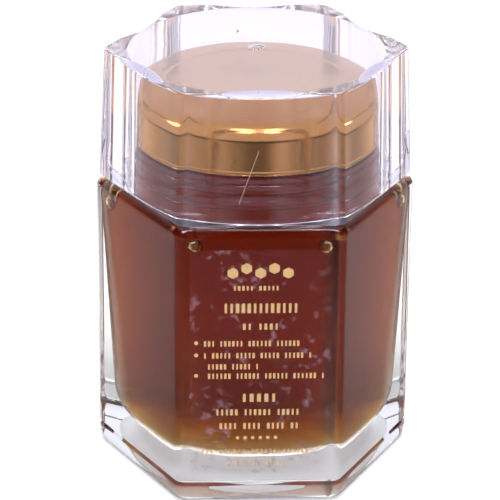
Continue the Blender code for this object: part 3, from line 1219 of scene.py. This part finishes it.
def make_camera():
    data = bpy.data.cameras.new("camera")
    data.lens = CAMERA_LENS
    data.sensor_width = CAMERA_SENSOR
    data.sensor_fit = "HORIZONTAL"
    camera = bpy.data.objects.new("camera", data)
    bpy.context.scene.collection.objects.link(camera)
    turned = (
        Matrix.Rotation(math.radians(CAMERA_TURN), 4, "Z")
        @ Matrix.Rotation(math.radians(CAMERA_TILT), 4, "X")
        @ Matrix.Rotation(math.radians(CAMERA_ROLL), 4, "Z")
    )
    camera.matrix_world = Matrix.Translation(CAMERA_PLACE) @ turned
    bpy.context.scene.camera = camera


# The floor in mirrors, by direction round the jar in degrees, 0 in front: dark in front, as behind a
# dark camera, a paler card 30 degrees to the right, and brighter towards the sides
ROUND_SHARES = (
    (-120, 1.00), (-60, 0.50), (-30, 0.30), (-10, 0.15), (5, 0.15), (30, 0.60), (55, 0.35), (120, 1.00),
)
FLOOR_FADES = (0.25, 0.38, 1.0, 0.15)   # from and to this far in front, from and to this share
FLOOR_GAP = 0.0003              # the floor lies this far under the jar
DEEP_PATH = 5.5                 # light that has passed more surfaces than this went through the honey
THROUGH_LIGHT = (0.91, 0.92, 1.0)
MIRROR_LIGHT = (0.90, 0.92, 1.0)


def reach_group():
    """How bright the floor looks in mirrors: by direction round the jar, and full under the jar."""
    inputs = (("Place", "NodeSocketVector", None), ("Under", "NodeSocketFloat", 0.034))
    outputs = (("Share", "NodeSocketFloat"), ("Covered", "NodeSocketFloat"))
    group, given, end = group_with_sockets("floor_reach", inputs, outputs)
    axes = axes_of(group, given["Place"])
    forward = math_of(group, "MULTIPLY", axes["Y"], -1.0)
    turn = math_of(group, "ARCTAN2", axes["X"], forward)
    ramp = node(group, "ShaderNodeValToRGB", mapped(group, turn, -math.pi, math.pi))
    ramp.color_ramp.interpolation = "EASE"
    stops = ramp.color_ramp.elements
    while len(stops) < len(ROUND_SHARES):
        stops.new(0.5)
    for stop, (degrees, share) in zip(stops, ROUND_SHARES):
        stop.position = 0.5 + degrees / 360.0
        stop.color = (share, share, share, 1.0)
    distance = node(group, "ShaderNodeVectorMath", given["Place"], operation="LENGTH").outputs["Value"]
    covered = math_of(group, "LESS_THAN", distance, given["Under"])
    faded = math_of(group, "MULTIPLY", ramp.outputs["Color"], mapped(group, forward, *FLOOR_FADES))
    set_inputs(group, end, Share=math_of(group, "MAXIMUM", faded, covered), Covered=covered)
    return group


def make_floor(studio):
    """A large pale sheet that mirrors and clear walls see dimmer than the camera does. It glows faintly all
    over, and as painted light it glows about ten times brighter in a small disc under the jar, lighting the
    underside from below.
    """
    deselect_everything()
    bpy.ops.mesh.primitive_plane_add(size=2.0 * studio.floor_half_size, location=(0.0, 0.0, -FLOOR_GAP))
    floor = name_new_piece("floor")
    apply_place(floor)
    material, tree, shader = new_tree("pale_floor")
    reach = add_group(tree, reach_group(), Place=object_place(tree), Under=studio.covered_radius)
    path = node(tree, "ShaderNodeLightPath").outputs
    in_mirror = mixed(tree, path["Is Reflection Ray"], 1.0, studio.mirror_share, "FLOAT")
    dimmed = math_of(tree, "MULTIPLY", reach["Share"], in_mirror)
    deep = math_of(tree, "GREATER_THAN", path["Transmission Depth"], DEEP_PATH)
    direct = math_of(tree, "SUBTRACT", 1.0, path["Is Glossy Ray"])
    share = mixed(tree, math_of(tree, "MAXIMUM", deep, direct), dimmed, 1.0, "FLOAT")
    shades = mixed(tree, share, BLACK, studio.floor_colour)
    # Painted light: the floor's glow is about ten times stronger in the disc under the jar than elsewhere,
    # and lights the stippled underside from below.
    lit = mixed(tree, reach["Covered"], studio.table_glow / studio.covered_glow, 1.0, "FLOAT")
    set_inputs(
        tree, shader, Base_Color=shades, Roughness=0.9, Specular_IOR_Level=0.0,
        Emission_Color=mixed(tree, lit, BLACK, shades), Emission_Strength=studio.covered_glow,
    )
    dress(floor, material)



LAMPS = (
    # name, place, width, depth
    ("soft_lamp_left", (-0.160, -0.190, 0.700), 0.26, 0.34),
    ("soft_lamp_right", (0.150, -0.200, 0.700), 0.24, 0.34),
)
LAMP_AIM = (0.0, 0.0, 0.07)


def make_lamps(studio):
    target = Vector(LAMP_AIM)
    for name, place, width, depth in LAMPS:
        data = bpy.data.lights.new(name, "AREA")
        data.shape = "RECTANGLE"
        data.size = width
        data.size_y = depth
        data.energy = studio.lamp_power
        lamp = bpy.data.objects.new(name, data)
        bpy.context.scene.collection.objects.link(lamp)
        lamp.location = place
        lamp.rotation_euler = (target - Vector(place)).to_track_quat("-Z", "Y").to_euler()
        lamp.visible_camera = False


def background(tree, colour_value, strength):
    return node(tree, "ShaderNodeBackground", colour_value, strength).outputs["Background"]


def switched(tree, switch, off, on):
    return node(tree, "ShaderNodeMixShader", switch, off, on).outputs["Shader"]


def make_world(studio):
    """Even white light; mirrors and glass see a white sweep behind and a dark room elsewhere."""
    world = bpy.data.worlds.new("studio")
    bpy.context.scene.world = world
    world.use_nodes = True
    tree = world.node_tree
    axes = axes_of(tree, node(tree, "ShaderNodeTexCoord").outputs["Generated"])
    behind = mapped(tree, axes["Y"], 0.35, 0.75, 0.0, 1.0, interpolation_type="SMOOTHSTEP")
    above = mapped(tree, axes["Z"], 0.80, 1.0, 0.0, 0.25, interpolation_type="SMOOTHSTEP")
    brightness = mapped(tree, math_of(tree, "MAXIMUM", behind, above), 0.0, 1.0, 0.05, 1.35)
    even = background(tree, WHITE, studio.room_light)
    mirrored = background(tree, MIRROR_LIGHT, brightness)
    through = background(tree, THROUGH_LIGHT, 1.15)
    white = background(tree, WHITE, 1.0)
    path = node(tree, "ShaderNodeLightPath").outputs
    by_kind = switched(tree, path["Is Transmission Ray"], mirrored, through)
    to_glossy = switched(tree, path["Is Glossy Ray"], even, by_kind)
    to_camera = switched(tree, path["Is Camera Ray"], to_glossy, white)
    set_inputs(tree, tree.nodes["World Output"], Surface=to_camera)



def set_light_paths():
    """Enough bounces for light to pass the cap, the glass and the honey."""
    cycles = bpy.context.scene.cycles
    cycles.max_bounces = 32
    cycles.transmission_bounces = 32
    cycles.glossy_bounces = 16
    cycles.diffuse_bounces = 4
    cycles.transparent_max_bounces = 16
    bpy.context.scene.view_settings.view_transform = "Standard"


class HONEYJAR_OT_studio(bpy.types.Operator):
    """Set up the pale floor, the soft light and the camera"""

    bl_idname = "honeyjar.studio"
    bl_label = "Studio"

    def execute(self, context):
        studio = context.scene.honey_jar.studio
        make_camera()
        make_floor(studio)
        make_lamps(studio)
        make_world(studio)
        set_light_paths()
        return {"FINISHED"}


OPERATORS = (
    HONEYJAR_OT_glass,
    HONEYJAR_OT_honey,
    HONEYJAR_OT_lid,
    HONEYJAR_OT_cap,
    HONEYJAR_OT_marks,
    HONEYJAR_OT_film,
    HONEYJAR_OT_print,
    HONEYJAR_OT_studio,
)


class HONEYJAR_PT_panel(bpy.types.Panel):
    """Lists the jar's pieces and the studio"""

    bl_idname = "HONEYJAR_PT_panel"
    bl_label = "Honey Jar"
    bl_space_type = "VIEW_3D"
    bl_region_type = "UI"
    bl_category = "Honey Jar"

    def draw(self, context):
        for operator in OPERATORS:
            self.layout.operator(operator.bl_idname)


GROUPS = (
    HONEYJAR_PG_glass,
    HONEYJAR_PG_honey,
    HONEYJAR_PG_lid,
    HONEYJAR_PG_cap,
    HONEYJAR_PG_label,
    HONEYJAR_PG_studio,
    HONEYJAR_PG_all,
)


def register():
    for group in GROUPS + OPERATORS + (HONEYJAR_PT_panel,):
        bpy.utils.register_class(group)
    bpy.types.Scene.honey_jar = PointerProperty(type=HONEYJAR_PG_all)


def unregister():
    del bpy.types.Scene.honey_jar
    for group in reversed(GROUPS + OPERATORS + (HONEYJAR_PT_panel,)):
        bpy.utils.unregister_class(group)


def main():
    register()
    bpy.ops.honeyjar.glass()
    bpy.ops.honeyjar.honey()
    bpy.ops.honeyjar.lid()
    bpy.ops.honeyjar.cap()
    bpy.ops.honeyjar.marks()
    bpy.ops.honeyjar.film()
    bpy.ops.honeyjar.print()
    bpy.ops.honeyjar.studio()


if __name__ == "__main__":
    main()
